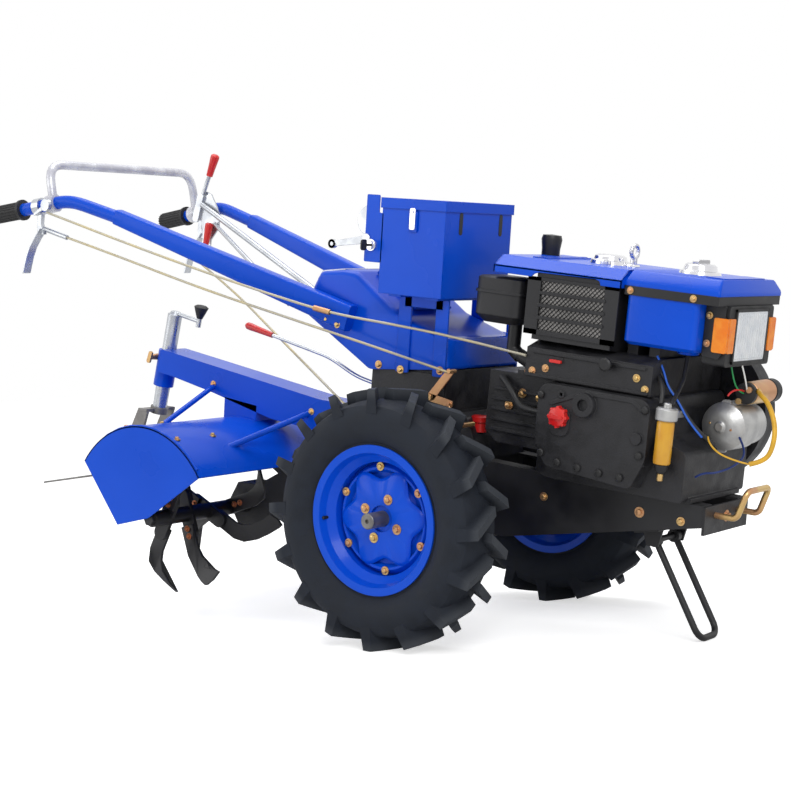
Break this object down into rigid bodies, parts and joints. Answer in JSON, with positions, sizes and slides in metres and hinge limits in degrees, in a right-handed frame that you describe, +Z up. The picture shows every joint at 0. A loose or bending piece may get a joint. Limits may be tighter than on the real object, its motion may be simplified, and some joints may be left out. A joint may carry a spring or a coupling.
{
  "type": "power tiller",
  "caption": "Walk-behind two-wheel diesel tractor with a driven rotary tiller, long handlebars, front stand and lidded battery box.",
  "frame": {"origin": "on the ground under the middle of the parked machine", "axes": "+X forward, towards the lamp; +Y to the left; +Z up"},
  "size_m": [2.3608, 0.879, 1.2073],
  "materials": {
    "tyre": "matt rubber",
    "blue_paint": "gloss",
    "black_paint": "satin",
    "black_casting": "painted casting",
    "zinc": "zinc plated",
    "steel": "bare",
    "chrome": "polished",
    "red_plastic": "gloss",
    "rubber": "matt",
    "lens": "clear"
  },
  "bodies": {
    "machine": {"air_cleaner": "black_paint", "battery_box": "blue_paint", "box_legs": "blue_paint", "bumper_rod": "zinc", "cylinder_head": "black_casting", "engine_block": "black_casting", "flywheel": "black_casting", "front_plate": "steel", "fuel_tank": "blue_paint", "gear_cover": "black_casting", "gearbox": "black_casting", "grip_left": "rubber", "grip_right": "rubber", "handle_loop": "zinc", "handlebar_base": "blue_paint", "handlebar_left": "blue_paint", "handlebar_right": "blue_paint", "lamp_housing": "black_paint", "lamp_lens": "lens", "muffler": "black_paint", "oil_cap": "red_plastic", "radiator": "black_paint", "radiator_cap": "chrome", "radiator_hood": "blue_paint", "rail_left": "black_paint", "rail_right": "black_paint", "stand_bracket": "black_paint", "tank_cap": "chrome", "tiller_beam": "blue_paint", "tiller_case": "black_casting", "tiller_hood": "blue_paint", "top_cover": "black_casting"},
    "wheel_right": {"tyre_right": "tyre", "wheel_right": "blue_paint", "axle_right": "steel"},
    "wheel_left": {"tyre_left": "tyre", "wheel_left": "blue_paint", "axle_left": "steel"},
    "rotor": {"rotor_shaft": "black_paint", "tines": "black_paint"},
    "stand": {"front_stand": "black_paint"},
    "lid": {"box_lid": "blue_paint"},
    "tail": {"tail_tube": "steel", "tail_share": "steel"}
  },
  "joints": [
    {"name": "wheel_right_turn", "type": "hinge", "parent": "machine", "child": "wheel_right", "pos_m": [0.396, -0.37, 0.295], "axis": [0, 1, 0], "continuous": true},
    {"name": "wheel_left_turn", "type": "hinge", "parent": "machine", "child": "wheel_left", "pos_m": [0.396, 0.37, 0.295], "axis": [0, 1, 0], "continuous": true},
    {"name": "rotor_turn", "type": "hinge", "parent": "machine", "child": "rotor", "pos_m": [-0.32531, 0, 0.27093], "axis": [0, 1, 0], "continuous": true},
    {"name": "stand_fold", "type": "hinge", "parent": "machine", "child": "stand", "pos_m": [0.9031, 0, 0.22422], "axis": [0, 1, 0], "range_deg": [0, 105]},
    {"name": "lid_hinge", "type": "hinge", "parent": "machine", "child": "lid", "pos_m": [0.39113, 0.0805, 0.99361], "axis": [-0.9914, 0, 0.1305], "range_deg": [0, 100]},
    {"name": "tail_slide", "type": "slide", "parent": "machine", "child": "tail", "axis": [0.2907, 0, 0.9568], "range_m": [-0.09, 0.04]}
  ]
}
